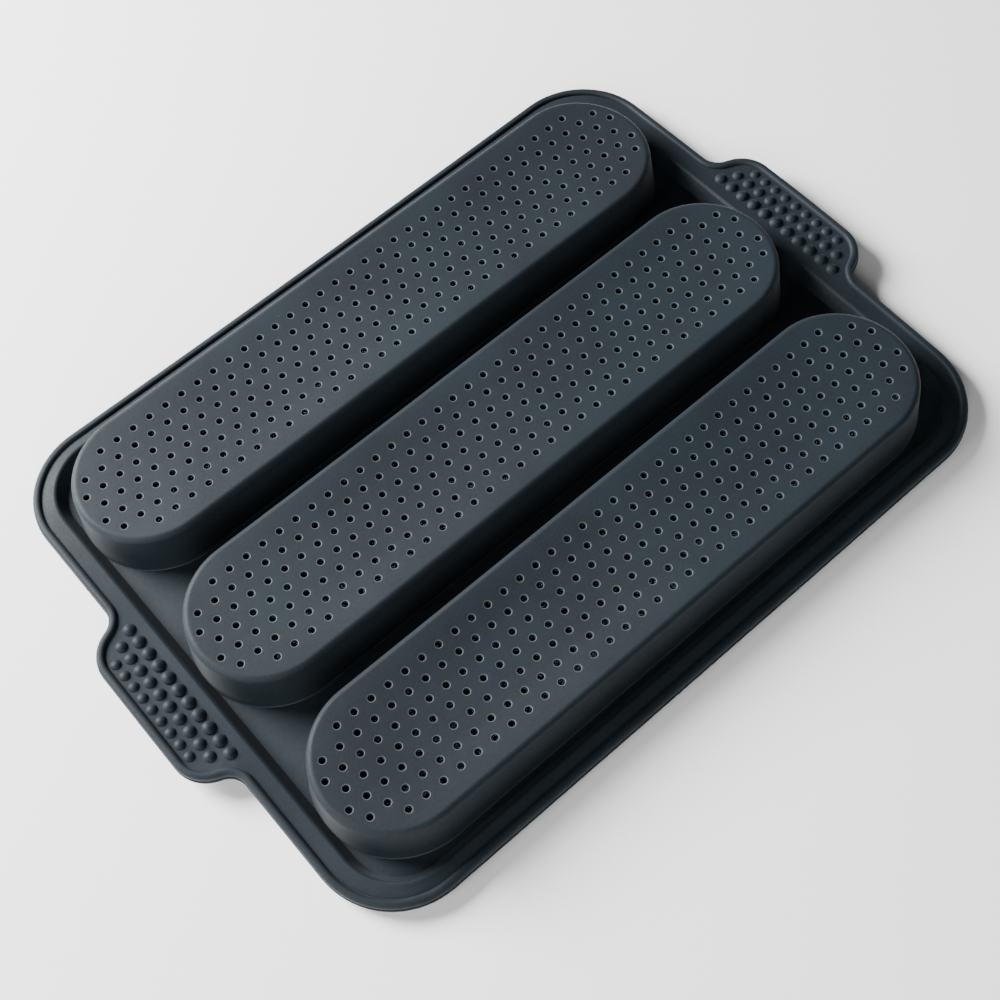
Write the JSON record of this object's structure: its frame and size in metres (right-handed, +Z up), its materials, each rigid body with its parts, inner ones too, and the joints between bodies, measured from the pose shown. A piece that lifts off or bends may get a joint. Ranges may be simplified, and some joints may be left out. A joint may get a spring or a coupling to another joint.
{
  "type": "baguette tray",
  "caption": "Perforated silicone baking tray with parallel stadium-shaped loaf wells, a raised rim bead round a flat flange and a studded grip tab at each end, lying wells up.",
  "frame": {"origin": "centre of the tray in plan, on the surface that the deck's underside lies on", "axes": "+X along the wells towards the right-hand handle, +Y across the wells towards the rear one, +Z up through the perforated well floors; in use the tray is turned over about X and stands on those floors"},
  "size_m": [0.3782, 0.267, 0.0248],
  "materials": {
    "silicone": "matte slate-grey moulded silicone",
    "steel_wire": "drawn stainless steel wire"
  },
  "bodies": {
    "root": {"deck_margin_front": "silicone", "deck_margin_rear": "silicone", "deck_web_front": "silicone", "deck_web_rear": "silicone", "grip_studs_left": "silicone", "grip_studs_right": "silicone", "handle_left": "silicone", "handle_right": "silicone", "rim_bead": "silicone", "rim_flange": "silicone", "rim_wire": "steel_wire", "well_floor_front": "silicone", "well_floor_middle": "silicone", "well_floor_rear": "silicone", "well_wall_front": "silicone", "well_wall_middle": "silicone", "well_wall_rear": "silicone"}
  },
  "joints": []
}
